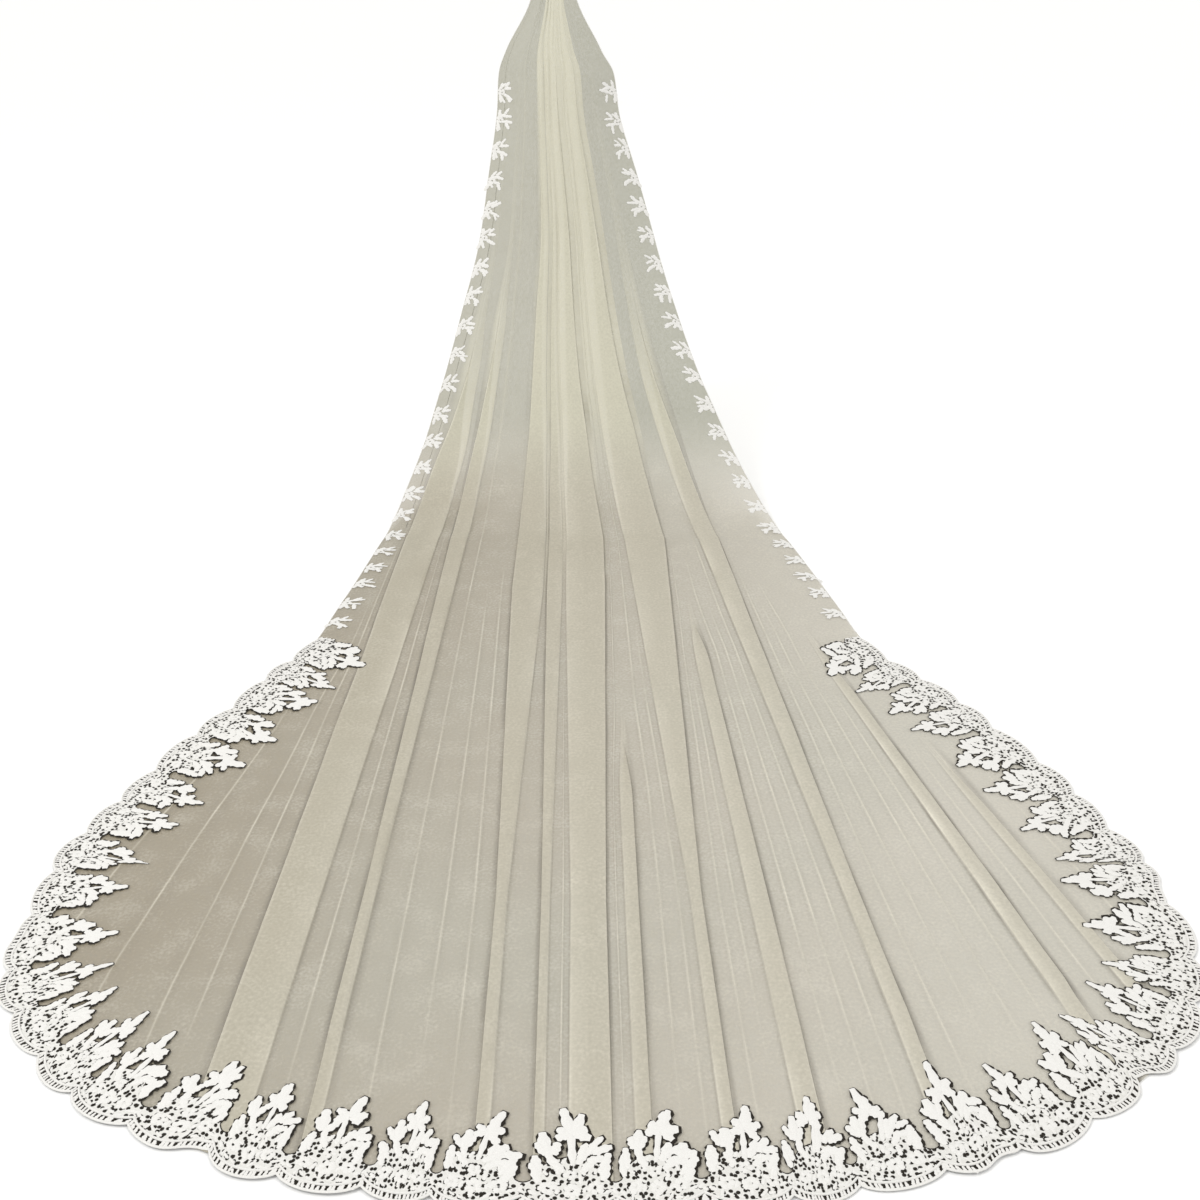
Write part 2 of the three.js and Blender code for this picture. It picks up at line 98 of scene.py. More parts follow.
# Sections of the veil from the comb to the hem.
# back, height: the middle of the section behind the comb and above the floor
# centre, half: sideways drift and half the veil's width, lace included
# trim: how far the lace stands out past the tulle
# wrap: how far the sides come forward
# ridge: height of the hanging folds
# lay: 0 for soft ridges, 1 for pleats laid flat
# bow: how far the middle runs on behind the edges
SECTION_COLUMNS = ("back", "height", "centre", "half", "trim", "wrap", "ridge", "lay", "bow")
SECTIONS = np.array([
    [0.000, 1.650, 0.000, 0.050, 0.000, 0.000, 0.0012, 0.00, 0.000],
    [0.060, 1.531, 0.000, 0.076, 0.000, 0.020, 0.004, 0.00, 0.000],
    [0.089, 1.397, -0.003, 0.152, 0.000, 0.070, 0.008, 0.10, 0.000],
    [0.104, 1.320, 0.004, 0.190, 0.000, 0.105, 0.010, 0.20, 0.000],
    [0.118, 1.200, 0.008, 0.204, 0.000, 0.118, 0.011, 0.30, 0.000],
    [0.145, 1.010, 0.022, 0.251, 0.000, 0.118, 0.012, 0.40, 0.000],
    [0.181, 0.797, 0.036, 0.303, 0.000, 0.112, 0.013, 0.50, 0.000],
    [0.250, 0.590, 0.042, 0.371, 0.000, 0.100, 0.013, 0.60, 0.000],
    [0.358, 0.372, 0.054, 0.449, 0.000, 0.080, 0.012, 0.70, 0.000],
    [0.449, 0.221, 0.068, 0.513, 0.000, 0.055, 0.010, 0.80, 0.000],
    [0.596, 0.103, 0.080, 0.573, 0.000, 0.030, 0.007, 0.90, 0.000],
    [0.720, 0.030, 0.091, 0.615, 0.000, 0.010, 0.003, 0.97, 0.000],
    [0.851, 0.000, 0.100, 0.646, 0.000, 0.000, 0.000, 1.00, 0.000],
    [1.265, 0.000, 0.114, 0.712, 0.000, 0.000, 0.000, 1.00, 0.000],
    [1.531, 0.000, 0.119, 0.767, 0.012, 0.000, 0.000, 1.00, 0.040],
    [1.716, 0.000, 0.131, 0.872, 0.027, 0.000, 0.000, 1.00, 0.110],
    [1.907, 0.000, 0.147, 0.959, 0.027, 0.000, 0.000, 1.00, 0.230],
    [2.101, 0.000, 0.148, 1.044, 0.027, 0.000, 0.000, 1.00, 0.370],
    [2.311, 0.000, 0.149, 1.116, 0.027, 0.000, 0.000, 1.00, 0.500],
    [2.470, 0.000, 0.151, 1.155, 0.027, 0.000, 0.000, 1.00, 0.600],
    [2.634, 0.000, 0.153, 1.152, 0.027, 0.000, 0.000, 1.00, 0.640],
])
FIRST_FLOOR_ROW = int(np.argmax(SECTIONS[:, SECTION_COLUMNS.index("height")] == 0))

# Pleats from the left edge to the right, which run straight over the floor.
# meets, ends: sideways place where the pleat meets the floor and at the end of the train
# overlap, hem: half the width of the laid pleat where it meets the floor and near the hem
# lean: 1 where the folded edge lies to the left, -1 to the right
# starts: distance behind the comb where the pleat begins
# parts: distance behind the comb where the cloth to its right opens to a single layer
# swell: share of the section's ridge that the pleat takes while it hangs
# lift: height of its laid layers over the usual one, and how strongly its painted highlight and painted shade
# lines show
FOLD_COLUMNS = ("meets", "ends", "overlap", "hem", "lean", "starts", "parts", "swell", "lift")
FOLDS = np.array([
    [-0.422, -0.483, 0.050, 0.046, 1, 0.10, 0.00, 0.8, 1.2],
    [-0.304, -0.325, 0.024, 0.010, 1, 0.05, 0.00, 0.7, 1.4],
    [-0.071, -0.045, 0.053, 0.010, 1, -0.30, 1.25, 0.7, 1.0],
    [0.006, 0.048, 0.024, 0.007, 1, -0.30, 1.15, 0.3, 1.0],
    [0.102, 0.135, 0.062, 0.034, -1, -0.30, 0.58, 0.3, 1.0],
    [0.190, 0.222, 0.014, 0.012, -1, 1.80, 0.58, 0.3, 1.0],
    [0.292, 0.362, 0.062, 0.010, -1, -0.30, 0.00, 0.7, 1.2],
    [0.385, 0.500, 0.014, 0.018, -1, 1.20, 0.00, 0.5, 1.2],
    [0.496, 0.719, 0.029, 0.013, -1, 0.05, 0.00, 0.8, 1.6],
    [0.596, 1.077, 0.011, 0.014, -1, 1.40, 0.00, 0.5, 2.6],
    [0.640, 1.234, 0.008, 0.010, -1, 2.00, 0.00, 0.5, 1.8],
])

# Fine creases and gathers between the pleats.
# panel: the stretch of cloth that it lies in, counted from the left edge
# share: how far across that stretch it lies
# starts, opens: distance behind the comb where it begins and where it has opened out
CREASE_COLUMNS = ("panel", "share", "starts", "opens")
CREASES = np.array([
    [0, 0.18, 1.90, 3.4], [0, 0.45, 1.70, 3.3], [0, 0.73, 1.20, 3.4], [0, 0.88, 0.80, 3.2],
    [1, 0.50, 0.70, 3.3],
    [2, 0.28, -0.24, 3.3], [2, 0.60, 1.10, 3.1], [2, 0.84, 0.90, 3.3],
    [3, 0.50, -0.24, 0.9],
    [4, 0.35, -0.24, 0.9], [4, 0.65, 1.50, 3.3],
    [5, 0.50, -0.24, 3.3],
    [6, 0.40, -0.24, 3.2], [6, 0.78, 1.40, 3.3],
    [7, 0.35, 0.80, 3.3], [7, 0.70, 1.50, 3.1],
    [8, 0.22, 0.90, 3.2], [8, 0.50, 1.20, 3.3], [8, 0.78, 0.70, 3.3],
    [9, 0.18, 0.90, 3.3], [9, 0.40, 1.20, 3.1], [9, 0.64, 1.00, 3.3], [9, 0.85, 1.60, 3.3],
    [10, 0.50, 2.00, 3.3],
    [11, 0.40, 2.20, 3.3],
])

# Cross-section of a pleat: open and crest draw it hanging, as shares of its half width and height.
# laid, foot and layer draw it pressed flat, as three layers one over another.
# crease: painted light, 1 for a painted highlight on a folded edge, -1 for painted shade at its foot
PLEAT_COLUMNS = ("open", "crest", "laid", "foot", "layer", "crease")
PLEAT = np.array([
    [-1.00, 0.00, -1.00, -1.0, 0.00, -1.0],
    [-0.80, 0.06, 0.85, 0.0, 0.00, 0.0],
    [-0.62, 0.18, 0.97, 0.0, 0.10, 0.3],
    [-0.48, 0.36, 1.00, 0.0, 0.50, 1.0],
    [-0.34, 0.54, 0.97, 0.0, 0.90, 0.3],
    [-0.20, 0.70, 0.85, 0.0, 1.00, 0.0],
    [0.00, 0.86, 0.00, 0.0, 1.00, 0.0],
    [0.12, 0.94, -0.85, 0.0, 1.00, 0.0],
    [0.20, 0.98, -0.97, 0.0, 1.10, 0.3],
    [0.30, 1.00, -1.00, 0.0, 1.50, 1.0],
    [0.40, 0.97, -0.97, 0.0, 1.90, 0.3],
    [0.50, 0.88, -0.85, 0.0, 2.00, 0.0],
    [0.65, 0.62, 0.00, 0.0, 2.00, 0.0],
    [0.80, 0.28, 0.90, 0.0, 1.90, 0.2],
    [0.90, 0.10, 1.00, 0.4, 1.00, 0.4],
    [1.00, 0.00, 1.00, 1.0, 0.00, -0.6],
])
# A gather's cross-section: open and crest draw it; crease is painted light, a painted highlight along its top
# and painted shade at its sides
GATHER_COLUMNS = ("open", "crest", "crease")
GATHER = np.array([
    [-1.0, 0.00, -0.3],
    [-0.4, 0.55, 0.2],
    [0.0, 1.00, 0.8],
    [0.4, 0.55, 0.2],
    [1.0, 0.00, -0.3],
])


def column(rows, names, name):
    """One named column of a table."""
    return rows[:, names.index(name)]


def ease(value, start, end):
    """Rises from 0 at start to 1 at end: 3t^2 - 2t^3 of the share t in between."""
    t = np.clip((value - start) / (end - start), 0, 1)
    return t * t * (3 - 2 * t)


def mix(a, b, share):
    """A point on the straight line from a to b."""
    return a + (b - a) * share


def through(places, values, at):
    """A smooth line through a table's rows with no overshoot.

    Each span is a cubic whose end slopes are the harmonic means of the chords beside them.
    """
    step = np.diff(places)
    chord = np.diff(values) / step
    slope = np.concatenate([chord[:1], np.zeros(len(chord) - 1), chord[-1:]])
    same = chord[:-1] * chord[1:] > 0
    safe = np.where(same, chord[:-1] * chord[1:], 1)
    slope[1:-1] = np.where(same, 2 * safe / np.where(same, chord[:-1] + chord[1:], 1), 0)
    i = np.clip(np.searchsorted(places, at) - 1, 0, len(step) - 1)
    t = (at - places[i]) / step[i]
    start = values[i] * (1 + 2 * t) * (1 - t) ** 2 + values[i + 1] * t * t * (3 - 2 * t)
    return start + step[i] * (slope[i] * t * (1 - t) ** 2 + slope[i + 1] * t * t * (t - 1))


def waves(x, y, pitch, seed):
    """An uneven wavy field from -1 to 1: five sine waves in scattered directions, lengths about the pitch."""
    scatter = np.random.default_rng(seed)
    total = 0
    for turn, stretch, phase in zip(*scatter.random((3, 5))):
        way = 2 * math.pi * turn
        reach = 2 * math.pi / (pitch * (0.7 + 0.8 * stretch))
        total = total + np.sin(reach * (x * math.cos(way) + y * math.sin(way)) + 2 * math.pi * phase)
    return total / 3.2


def section(at, name):
    """One of the section table's columns at places counted in rows from the comb."""
    rows = np.arange(len(SECTIONS), dtype=float)
    return through(rows, column(SECTIONS, SECTION_COLUMNS, name), at)


def roundness(across):
    """Rise of the train's rounded end over its base: a superellipse, 1 in the middle and 0 at the edge."""
    return np.clip(1 - np.abs(np.clip(across, -1, 1)) ** HEM_POWER, 0, 1) ** (1 / HEM_POWER)


def forward(across):
    """How far a section has come forward: the square of the place across, straight near its edge."""
    side = np.abs(across)
    straight = STRAIGHT_FROM ** 2 + 2 * STRAIGHT_FROM * (side - STRAIGHT_FROM)
    return np.where(side < STRAIGHT_FROM, side ** 2, straight)


def forward_slope(across):
    """Slope of that bow."""
    return 2 * np.clip(across, -STRAIGHT_FROM, STRAIGHT_FROM)


def ripple(x, y):
    """How far the cloth on the floor lifts from it in soft waves."""
    broad = 0.5 + 0.5 * waves(x, y, 0.42, 3)
    fine = 0.5 + 0.5 * waves(x, y, 0.13, 5)
    return (BROAD_RIPPLE * broad + FINE_RIPPLE * fine) * ease(-y, 0.80, 1.25)


def place(at, across, out):
    """A point of the veil from the place along it in rows, the share across it and the distance out of it.

    The section lies in the plane of the X axis and the direction square to the veil's run, bowed forward
    by the square law at its sides, and its middle runs on behind the edges by the superellipse.
    """
    half = section(at, "half") - section(at, "trim")
    wrap = section(at, "wrap")
    slope = wrap / half * forward_slope(across)
    size = np.hypot(1, slope)
    step = 0.05
    low = np.clip(at - step, 0, None)
    rise = section(at + step, "height") - section(low, "height")
    run = section(at + step, "back") - section(low, "back")
    length = np.hypot(rise, run)
    sideways = across * half + out * slope / size
    outwards = -wrap * forward(across) + out / size
    x = section(at, "centre") + sideways
    y = -(section(at, "back") + section(at, "bow") * roundness(across)) + outwards * rise / length
    z = FLOOR + TULLE_LIFT + section(at, "height") + outwards * run / length
    return np.stack([x, y, z + ripple(x, y)], axis=-1)


def rows_along():
    """Places in rows from the comb to the hem, an even distance apart along the middle of the veil."""
    fine = np.linspace(0, len(SECTIONS) - 1, 4000)
    run = section(fine, "back") + section(fine, "bow")
    steps = np.hypot(np.diff(run), np.diff(section(fine, "height")))
    distance = np.concatenate([[0], np.cumsum(steps)])
    even = np.linspace(0, distance[-1], ROWS)
    return np.interp(even, distance, fine), even


def fold_places(rows, half):
    """Each pleat's place across in every row: one share of the fall, then a straight line over the floor.

    A row's distance back depends on the place across it, so the place is settled in a few rounds.
    """
    meets, ends = (column(FOLDS, FOLD_COLUMNS, name)[:, None] for name in ("meets", "ends"))
    first = dict(zip(SECTION_COLUMNS, SECTIONS[FIRST_FLOOR_ROW]))
    hung = (meets - first["centre"]) / first["half"] + 0 * half
    places = hung
    for _ in range(5):
        reach = rows["back"] + rows["bow"] * roundness(places) - MEETS_FLOOR
        x = mix(meets, ends, np.maximum(reach, 0) / (TRAIN_END - MEETS_FLOOR))
        laid = np.clip((x - rows["centre"]) / half, -WIDEST_PLACE, WIDEST_PLACE)
        places = np.where(rows["back"] > MEETS_FLOOR, laid, hung)
    return places


def fold_rooms(rows, half):
    """Each pleat's place across, how far it has formed, and the room on its narrower side."""
    fold = {name: column(FOLDS, FOLD_COLUMNS, name)[:, None] for name in FOLD_COLUMNS}
    places = fold_places(rows, half)
    life = ease(rows["run"], fold["starts"], fold["starts"] + FOLD_OPENING)
    claim = IDLE_FOLD + (FOLD_FOOT + fold["overlap"] * rows["lay"]) * life
    gap = np.diff(places, axis=0) * half * FOLD_ROOM
    share = claim[:-1] / (claim[:-1] + claim[1:])
    room = half * (1 - np.abs(places)) * FOLD_ROOM
    room[:-1] = np.minimum(room[:-1], gap * share)
    room[1:] = np.minimum(room[1:], gap * (1 - share))
    return places, life, np.maximum(room, 0.0004)


def fold_profile(fold, rows, life, room, clear):
    """Cross-sections of one pleat in every row: sideways, out, layered and painted fold light (painted
    highlight on folded edges, painted shade at their feet), left to right.

    A hanging pleat is a soft ridge, a laid one is three flat layers, and between them every point goes
    straight from one shape to the other.
    """
    narrowed = np.clip((rows["run"] - MEETS_FLOOR) / (NARROWED - MEETS_FLOOR), 0, 1)
    wanted = mix(fold["overlap"], fold["hem"], narrowed)
    laid = np.minimum(wanted, np.maximum(room - FOLD_FOOT, 0)) * life
    width = np.minimum(2 * laid + FOLD_SLACK, room)
    ridge = np.maximum(fold["swell"] * rows["ridge"], CREASE_RISE)
    height = np.minimum(ridge, STEEPEST_RIDGE * width) * life
    shape = {name: column(PLEAT, PLEAT_COLUMNS, name)[None, :] for name in PLEAT_COLUMNS}
    flat = (rows["lay"] * life)[:, None]
    pressed = shape["laid"] * laid[:, None] + shape["foot"] * np.minimum(FOLD_FOOT, 0.5 * room)[:, None]
    aside = mix(shape["open"] * width[:, None], pressed, flat) * fold["lean"]
    layer = FOLD_LAYER * ease(laid, 0, 0.006) * mix(PRESSED, fold["lift"], clear)
    out = mix(shape["crest"] * height[:, None], shape["layer"] * layer[:, None], flat)
    layered = (np.abs(shape["foot"]) < 0.5) * life[:, None]
    painted_fold_light = shape["crease"] * flat * fold["lift"]
    parts = [aside, out, layered, painted_fold_light]
    return parts if fold["lean"] > 0 else [part[:, ::-1] for part in parts]


def crease_profile(crease, rows, span, clear):
    """Cross-sections of one fine crease in every row: a small ridge with a painted highlight along its top
    and painted shade at its sides.
    """
    run = rows["run"]
    begun = ease(run, crease["starts"], crease["starts"] + FOLD_OPENING)
    life = begun * (1 - ease(run, crease["opens"] - FOLD_OPENING, crease["opens"]))
    half = np.minimum(np.maximum(CREASE_HALF, 0.8 * rows["ridge"]), CREASE_ROOM * span)
    ridge = np.maximum(0.25 * rows["ridge"], CREASE_RISE * mix(PRESSED, 1, clear))
    height = np.minimum(ridge, STEEPEST_RIDGE * half) * life
    shape = {name: column(GATHER, GATHER_COLUMNS, name)[None, :] for name in GATHER_COLUMNS}
    on_floor = ease(run, 0.3, 0.9)
    aside = shape["open"] * half[:, None]
    out = shape["crest"] * height[:, None]
    layered = 0.3 * shape["crest"] * life[:, None]
    painted_fold_light = shape["crease"] * (life * on_floor)[:, None]
    return aside, out, layered, painted_fold_light


def tulle_grid():
    """The whole tulle panel as one grid: the pleats with fine creases and gathers between them, row by row.
    """
    at, distance = rows_along()
    rows = {name: section(at, name) for name in SECTION_COLUMNS}
    half = rows["half"] - rows["trim"]
    rows["run"] = rows["back"] + rows["bow"]
    places, life, room = fold_rooms(rows, half)
    columns = []

    def clear_of_lace(across):
        from_edge = mix(1, (1 - np.abs(across)) * half, ease(rows["back"], LACE_START - 0.3, LACE_START))
        to_end = rows["back"][-1] - rows["back"] + (rows["bow"][-1] - rows["bow"]) * roundness(across)
        return ease(np.minimum(from_edge, to_end), *UNDER_LACE)

    def add(sideways, out, layered, painted_fold_light):
        shape = (ROWS, np.shape(sideways)[1])
        columns.append([np.broadcast_to(part, shape) for part in (sideways, out, layered, painted_fold_light)])

    def stretch(panel, start, end, closed):
        span = end - start
        last = start
        for row in CREASES[column(CREASES, CREASE_COLUMNS, "panel") == panel]:
            crease = dict(zip(CREASE_COLUMNS, row))
            middle = mix(start, end, crease["share"])
            aside, out, layered, painted_fold_light = crease_profile(crease, rows, span, clear_of_lace(middle / half))
            plain(last, middle + aside[:, 0], closed)
            add(middle[:, None] + aside, out, np.maximum(layered, closed[:, None]), painted_fold_light)
            last = middle + aside[:, -1]
        plain(last, end, closed)

    def plain(start, end, closed):
        share = ((np.arange(PLAIN_COLUMNS) + 1) / (PLAIN_COLUMNS + 1))[None, :]
        add(mix(start[:, None], end[:, None], share), 0.0, closed[:, None], 0.0)

    add(-half[:, None], 0.0, 0.0, 0.0)
    last, parts = -half, 0.0
    for k, row in enumerate(FOLDS):
        fold = dict(zip(FOLD_COLUMNS, row))
        aside, out, layered, painted_fold_light = fold_profile(fold, rows, life[k], room[k], clear_of_lace(places[k]))
        middle = places[k] * half
        closed = (1 - ease(rows["run"], parts - 0.30, parts + 0.12)) * (parts > 0)
        stretch(k, last, middle + aside[:, 0], closed)
        add(middle[:, None] + aside, out, np.maximum(layered, closed[:, None]), painted_fold_light)
        last, parts = middle + aside[:, -1], fold["parts"]
    stretch(len(FOLDS), last, half, 0 * half)
    add(half[:, None], 0.0, 0.0, 0.0)
    sideways, out, layered, painted_fold_light = (np.concatenate(part, axis=1) for part in zip(*columns))
    across = sideways / half[:, None]
    hanging = ease(rows["height"], 0.02, 0.3)[:, None]
    fine = waves(22 * across + 1.5 * at[:, None] / 10, 0.5 * at[:, None], 1.0, 21)
    out = out + HANGING_RIPPLE * fine * hanging * (1 - ease(np.abs(across), 0.45, 0.7))
    points = place(at[:, None] + 0 * across, across, out)
    marks = {"layered": layered, "painted_fold_light": painted_fold_light, "hanging": hanging + 0 * across}
    return points, marks, across, distance


def mesh_object(name, points, faces, material, smooth=True):
    """An object at the origin from arrays of points and four-cornered faces."""
    mesh = bpy.data.meshes.new(name)
    mesh.from_pydata(points.reshape(-1, 3), [], faces.reshape(-1, 4))
    mesh.polygons.foreach_set("use_smooth", np.full(len(mesh.polygons), smooth))
    mesh.materials.append(material)
    made = bpy.data.objects.new(name, mesh)
    bpy.context.scene.collection.objects.link(made)
    return made


def grid_faces(rows, columns, count=1):
    """Corners of the faces of several grids, each numbered on from the one before."""
    row, col = np.meshgrid(np.arange(rows - 1), np.arange(columns - 1), indexing="ij")
    corner = (row * columns + col).ravel()
    one = np.stack([corner, corner + columns, corner + columns + 1, corner + 1], axis=-1)
    return (one[None] + (np.arange(count) * rows * columns)[:, None, None]).reshape(-1, 4)


def give_attribute(made, name, values):
    """Stores one number at each point of a mesh."""
    layer = made.data.attributes.new(name, "FLOAT", "POINT")
    layer.data.foreach_set("value", np.ascontiguousarray(values, dtype=np.float32).ravel())


def give_map(made, u, v):
    """Stores flat cloth coordinates for each corner of a mesh."""
    corners = np.empty(len(made.data.loops), dtype=np.int32)
    made.data.loops.foreach_get("vertex_index", corners)
    flat = np.stack([u.ravel()[corners], v.ravel()[corners]], axis=-1)
    layer = made.data.uv_layers.new(name="flat")
    layer.data.foreach_set("uv", flat.astype(np.float32).ravel())


class Value:
    """A shader socket that Python's operators work on."""

    def __init__(self, shader, socket):
        self.shader = shader
        self.socket = socket

    def calculate(self, operation, first, second):
        return self.shader.node("ShaderNodeMath", {"operation": operation}, {0: first, 1: second})

    def __add__(self, other):
        return self.calculate("ADD", self, other)

    def __radd__(self, other):
        return self.calculate("ADD", other, self)

    def __sub__(self, other):
        return self.calculate("SUBTRACT", self, other)

    def __rsub__(self, other):
        return self.calculate("SUBTRACT", other, self)

    def __mul__(self, other):
        return self.calculate("MULTIPLY", self, other)

    def __rmul__(self, other):
        return self.calculate("MULTIPLY", other, self)

    def __truediv__(self, other):
        return self.calculate("DIVIDE", self, other)

    def __rtruediv__(self, other):
        return self.calculate("DIVIDE", other, self)

    def at_least(self, other):
        return self.calculate("MAXIMUM", self, other)

    def at_most(self, other):
        return self.calculate("MINIMUM", self, other)


class Shader:
    """A material's nodes: one method adds any node, and another links or sets a socket."""

    def __init__(self, name):
        self.material = bpy.data.materials.new(name)
        self.material.use_nodes = True
        self.tree = self.material.node_tree
        self.surface = self.tree.nodes["Principled BSDF"]

    def put(self, socket, value):
        if isinstance(value, Value):
            self.tree.links.new(value.socket, socket)
        else:
            socket.default_value = value

    def node(self, kind, settings=None, inputs=None, output=0):
        made = self.tree.nodes.new(kind)
        for name, value in (settings or {}).items():
            setattr(made, name, value)
        for name, value in (inputs or {}).items():
            self.put(made.inputs[name], value)
        return Value(self, made.outputs[output])

    def attribute(self, name):
        return self.node("ShaderNodeAttribute", {"attribute_name": name}, output="Fac")

    def noise(self, scale, detail=2.0):
        spot = self.node("ShaderNodeTexCoord", output="Object")
        return self.node("ShaderNodeTexNoise", None, {"Vector": spot, "Scale": scale, "Detail": detail})

    def cells(self, spot, scale):
        settings = {"voronoi_dimensions": "2D"}
        inputs = {"Vector": spot, "Scale": scale, "Randomness": 0.8}
        return self.node("ShaderNodeTexVoronoi", settings, inputs, output="Distance")

    def scaled(self, spot, sizes):
        return self.node("ShaderNodeVectorMath", {"operation": "MULTIPLY"}, {0: spot, 1: sizes})

    def blend(self, first, second, share):
        settings = {"data_type": "RGBA", "clamp_factor": True}
        return self.node("ShaderNodeMix", settings, {0: share, 6: first, 7: second}, output=2)

    def bump(self, height, strength, distance):
        return self.node(
            "ShaderNodeBump", None, {"Height": height, "Strength": strength, "Distance": distance}
        )

    def finish(self, **sockets):
        for name, value in sockets.items():
            self.put(self.surface.inputs[name.replace("_", " ")], value)
        return self.material


def srgb(red, green, blue):
    """A colour given as it looks on a screen, 0 to 255."""
    share = np.array([red, green, blue]) / 255
    linear = np.where(share <= 0.04045, share / 12.92, ((share + 0.055) / 1.055) ** 2.4)
    return (*linear.tolist(), 1.0)


def tulle_material():
    shader = Shader("tulle")
    layered = shader.attribute("layered")
    painted_fold_light = shader.attribute("painted_fold_light")
    hanging = shader.attribute("hanging")
    spot = shader.node("ShaderNodeTexCoord", output="Object")
    sideways = shader.node("ShaderNodeSeparateXYZ", None, {0: spot}, output="X")
    tint = shader.noise(1.3, 2.0)
    mottle = shader.noise(14.0, 4.0)
    grain = shader.noise(150.0, 2.0)
    uneven = (shader.noise(5.0, 2.0) - 0.25).at_least(0.0) * 2.0
    # Painted fold light, broken up by noise: above 0 a painted highlight on folded edges and gather tops,
    # below 0 painted shade at their feet
    line = painted_fold_light * uneven
    # Painted shade across the single layer: darker towards the left (-X), lighter towards the right
    single = shader.blend(srgb(146, 136, 115), srgb(194, 189, 176), (sideways + 0.75) * 0.6)
    single = shader.blend(single, srgb(172, 171, 157), (tint - 0.45) * 1.4)
    single = shader.blend(single, srgb(206, 201, 187), (grain - 0.5) * 1.0 + (mottle - 0.5) * 1.0)
    # Painted shade on the hanging fall: darker where it hangs, more so towards +X
    single = shader.blend(single, srgb(150, 150, 133), hanging * (0.72 + sideways * 0.4))
    doubled = shader.blend(srgb(198, 193, 177), srgb(196, 193, 175), hanging)
    cloth = shader.blend(single, doubled, layered * (0.55 + hanging * 0.4))
    # Painted highlight on the folded edges, then painted shade at their feet
    cloth = shader.blend(cloth, srgb(230, 225, 210), line.at_least(0.0) * 0.8)
    cloth = shader.blend(cloth, srgb(92, 84, 70), line.at_most(0.0) * -0.48)
    cover = 0.7 + layered * 0.14 + hanging * 0.12 + (grain - 0.5) * 0.3
    cover = (cover + line.at_least(0.0) * 0.15).at_most(1.0)
    return shader.finish(
        Base_Color=cloth,
        Alpha=cover,
        Roughness=0.62,
        Specular_IOR_Level=0.2,
        Normal=shader.bump(grain, 0.12, 0.001),
    )


def lace_material():
    shader = Shader("lace_thread")
    thread = shader.noise(700.0, 2.0)
    tone = shader.blend(srgb(202, 200, 195), srgb(236, 235, 232), thread)
    return shader.finish(
        Base_Color=tone,
        Roughness=0.7,
        Specular_IOR_Level=0.25,
        Normal=shader.bump(thread, 0.35, 0.0008),
    )


# Near-black painted shade: a sheet under the lace that shows through its holes and as painted shadow outlines
# round its leaves
def painted_shade_material():
    shader = Shader("lace_painted_shade")
    thread = shader.noise(500.0, 1.0)
    tone = shader.blend(srgb(26, 24, 21), srgb(54, 50, 44), thread)
    return shader.finish(Base_Color=tone, Roughness=0.85, Specular_IOR_Level=0.1)


def web_material():
    shader = Shader("lace_web")
    flat = shader.node("ShaderNodeUVMap", {"uv_map": "flat"})
    thread = shader.noise(600.0, 2.0)
    dots = shader.cells(flat, 98.0)
    slashes = shader.cells(shader.scaled(flat, (74.0, 50.0, 1.0)), 1.0)
    shut = (dots - 0.29) * 14.0
    shut = shut.at_most((slashes - 0.17) * 14.0)
    tone = shader.blend(srgb(192, 190, 184), srgb(230, 229, 225), thread)
    return shader.finish(
        Base_Color=tone,
        Alpha=shut.at_least(0.0).at_most(1.0),
        Roughness=0.75,
        Specular_IOR_Level=0.2,
        Normal=shader.bump(thread, 0.4, 0.001),
    )


def comb_material():
    shader = Shader("comb_gloss")
    return shader.finish(Base_Color=srgb(236, 231, 220), Roughness=0.22, Coat_Weight=0.3)


def floor_material():
    shader = Shader("floor")
    return shader.finish(Base_Color=srgb(250, 250, 249), Roughness=0.9, Specular_IOR_Level=0.1)


TULLE = tulle_material()
LACE = lace_material()
PAINTED_SHADE = painted_shade_material()
WEB = web_material()


# Tulle
points, marks, across, distance = tulle_grid()
tulle = mesh_object("tulle", points[:, ::-1], grid_faces(*points.shape[:2]), TULLE)
for word, values in marks.items():
    give_attribute(tulle, word, values[:, ::-1])
give_map(tulle, across[:, ::-1], np.repeat(distance[:, None], across.shape[1], axis=1))
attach(tulle, "root")
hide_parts("tulle_fall", "tulle_train")


# Lace
LEAF_STEPS = 8
LEAF_SIDES = 4
